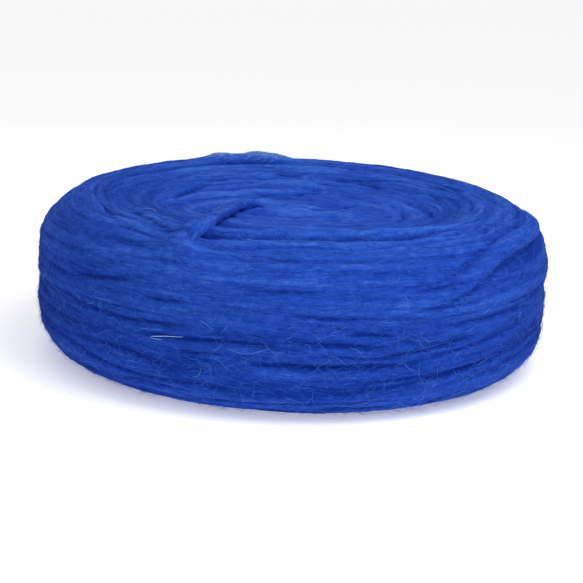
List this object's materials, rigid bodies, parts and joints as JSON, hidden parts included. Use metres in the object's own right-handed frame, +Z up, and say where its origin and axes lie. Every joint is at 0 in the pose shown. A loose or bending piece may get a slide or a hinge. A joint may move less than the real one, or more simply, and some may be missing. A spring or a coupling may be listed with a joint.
{
  "type": "wound plate of unspun wool yarn",
  "caption": "Flat round plate of soft unspun wool yarn, wound from a long oval middle, with rounded edges, a slightly sunken top and its loose end laid across the turns.",
  "frame": {"origin": "middle of the flat foot, on the surface that the plate rests on", "axes": "+Z up through the middle of the wound turns, -Y towards the front with the root of the loose end"},
  "size_m": [0.17, 0.17, 0.0566],
  "materials": {
    "blue_wool": "soft matt unspun wool with a fine halo of loose fibres"
  },
  "bodies": {
    "root": {"wound_plate": "blue_wool", "loose_end": "blue_wool"}
  },
  "joints": []
}
